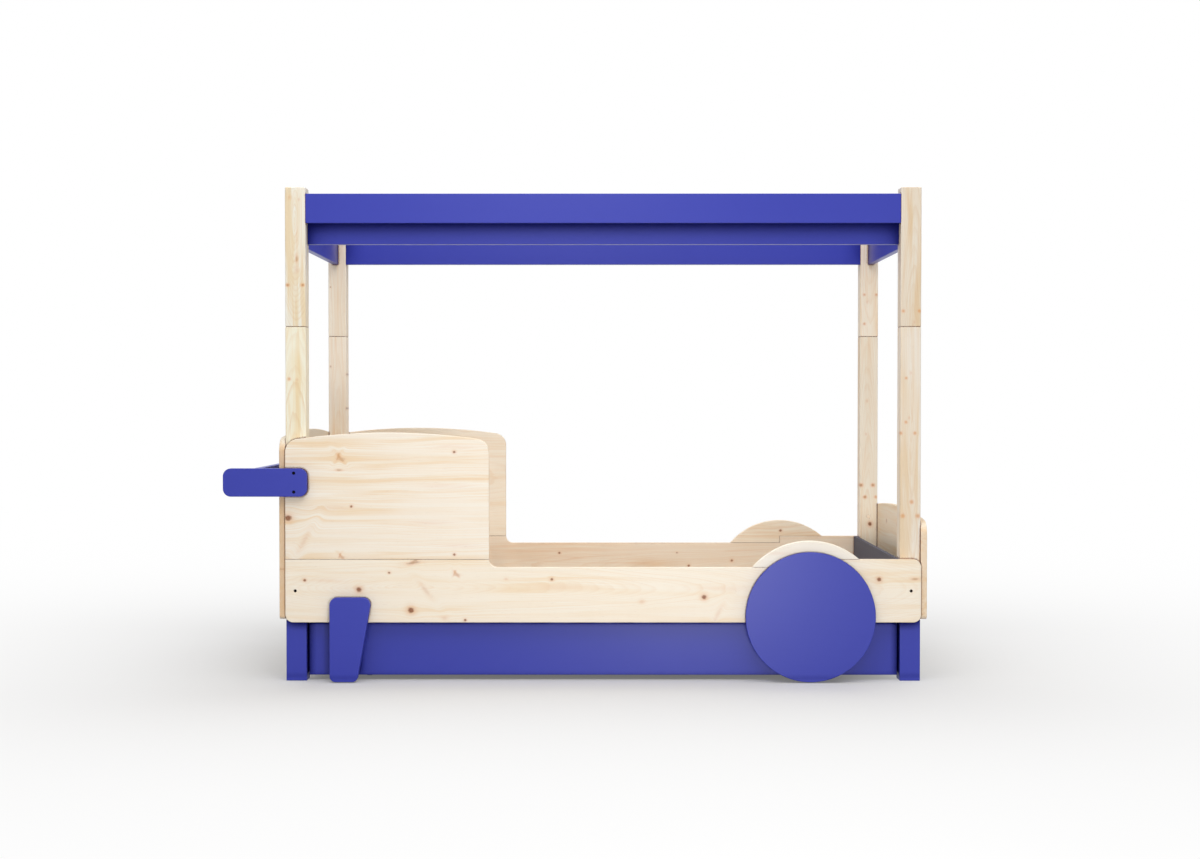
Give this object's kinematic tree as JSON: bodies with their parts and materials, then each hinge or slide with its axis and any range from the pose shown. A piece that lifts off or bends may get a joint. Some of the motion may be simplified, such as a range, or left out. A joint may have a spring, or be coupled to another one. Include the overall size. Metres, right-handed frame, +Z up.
{
  "type": "car bed for children",
  "caption": "Children's bed shaped like a truck, with slatted base, open roof frame on posts, bumper, wheel discs and a trundle drawer that rolls out on castors.",
  "frame": {"origin": "on the floor, at the middle of the rectangle that the whole bed covers", "axes": "+Z up, +X along the bed from the truck's nose to its rear end, +Y across the bed away from the drawer's side"},
  "size_m": [2.295, 1.009, 1.615],
  "materials": {
    "pine_wood": "satin clear finish on pale knotty pine",
    "blue_lacquer": "satin blue lacquer on board",
    "slate_board": "matt dark grey board",
    "dowel_wood": "plain beech",
    "zinc_steel": "zinc plated",
    "black_steel": "black oxide",
    "grey_tyre": "soft grey tread",
    "webbing": "woven cotton tape"
  },
  "bodies": {
    "bed_frame": {"leg_front_near": "blue_lacquer", "leg_front_far": "blue_lacquer", "leg_rear_near": "blue_lacquer", "leg_rear_far": "blue_lacquer", "post_front_near": "pine_wood", "post_front_far": "pine_wood", "post_rear_near": "pine_wood", "post_rear_far": "pine_wood", "post_top_front_near": "pine_wood", "post_top_front_far": "pine_wood", "post_top_rear_near": "pine_wood", "post_top_rear_far": "pine_wood", "post_studs": "zinc_steel", "side_rail_near": "pine_wood", "side_rail_far": "pine_wood", "hood_side_near": "pine_wood", "hood_side_far": "pine_wood", "fender_near": "pine_wood", "fender_far": "pine_wood", "board_dowels": "dowel_wood", "front_panel": "pine_wood", "rear_panel": "pine_wood", "end_board_front": "slate_board", "end_board_rear": "slate_board", "slat_ledger_near": "pine_wood", "slat_ledger_far": "pine_wood", "bed_slats": "pine_wood", "slat_tapes": "webbing", "roof_beam_near": "blue_lacquer", "roof_beam_far": "blue_lacquer", "roof_fascia_near": "blue_lacquer", "roof_fascia_far": "blue_lacquer", "roof_end_front": "blue_lacquer", "roof_end_rear": "blue_lacquer", "roof_dowels": "dowel_wood", "bumper_arm_near": "blue_lacquer", "bumper_arm_far": "blue_lacquer", "bumper_board": "blue_lacquer", "wheel_disc_far": "blue_lacquer", "step_far": "blue_lacquer", "frame_bolts": "black_steel", "arm_bolts": "black_steel", "barrel_nuts": "zinc_steel"},
    "drawer": {"wheel_disc_near": "blue_lacquer", "step_near": "blue_lacquer", "disc_spacer": "blue_lacquer", "step_spacer": "blue_lacquer", "drawer_front": "blue_lacquer", "drawer_back": "pine_wood", "drawer_side_front": "pine_wood", "drawer_side_rear": "pine_wood", "drawer_floor": "pine_wood", "drawer_bearers": "pine_wood", "caster_brackets": "zinc_steel", "caster_axles": "zinc_steel"},
    "caster_front_near": {"caster_wheel_front_near": "grey_tyre"},
    "caster_front_far": {"caster_wheel_front_far": "grey_tyre"},
    "caster_rear_near": {"caster_wheel_rear_near": "grey_tyre"},
    "caster_rear_far": {"caster_wheel_rear_far": "grey_tyre"}
  },
  "joints": [
    {"name": "drawer_slide", "type": "slide", "parent": "bed_frame", "child": "drawer", "axis": [0, -1, 0], "range_m": [0, 0.85]},
    {"name": "caster_front_near_spin", "type": "hinge", "parent": "drawer", "child": "caster_front_near", "pos_m": [-0.6915, -0.3475, 0.02], "axis": [1, 0, 0], "continuous": true},
    {"name": "caster_front_far_spin", "type": "hinge", "parent": "drawer", "child": "caster_front_far", "pos_m": [-0.6915, 0.3425, 0.02], "axis": [1, 0, 0], "continuous": true},
    {"name": "caster_rear_near_spin", "type": "hinge", "parent": "drawer", "child": "caster_rear_near", "pos_m": [0.8685, -0.3475, 0.02], "axis": [1, 0, 0], "continuous": true},
    {"name": "caster_rear_far_spin", "type": "hinge", "parent": "drawer", "child": "caster_rear_far", "pos_m": [0.8685, 0.3425, 0.02], "axis": [1, 0, 0], "continuous": true}
  ],
  "couplings": [
    {"joint": "caster_front_near_spin", "follows": "drawer_slide", "rad_per_m": 50},
    {"joint": "caster_front_far_spin", "follows": "drawer_slide", "rad_per_m": 50},
    {"joint": "caster_rear_near_spin", "follows": "drawer_slide", "rad_per_m": 50},
    {"joint": "caster_rear_far_spin", "follows": "drawer_slide", "rad_per_m": 50}
  ]
}
